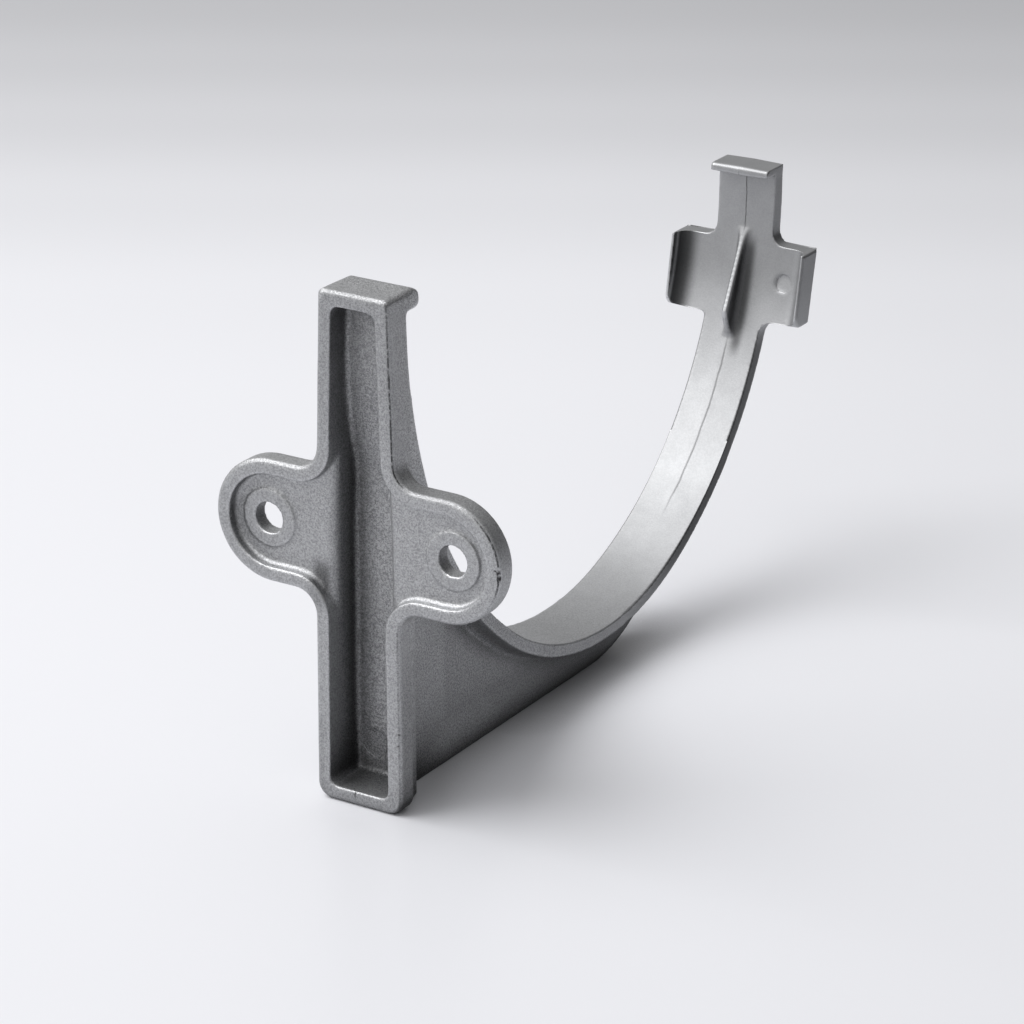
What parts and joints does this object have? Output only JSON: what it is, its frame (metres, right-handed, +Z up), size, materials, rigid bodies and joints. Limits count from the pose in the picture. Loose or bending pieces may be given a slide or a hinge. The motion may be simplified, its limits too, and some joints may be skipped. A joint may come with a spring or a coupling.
{
  "type": "gutter bracket",
  "caption": "Cast bracket with a screw-on wall flange, a half-round strap on a thin web and a cross-shaped front pad, to carry a round gutter.",
  "frame": {"origin": "midway between the two screw holes, on the face where the screw heads seat", "axes": "+X across the flange, +Y from the wall out to the front pad, +Z up"},
  "size_m": [0.0618, 0.1484, 0.1],
  "materials": {
    "casting": "fine shot-blasted cast skin, matt"
  },
  "bodies": {
    "root": {"bracket": "casting"}
  },
  "joints": []
}
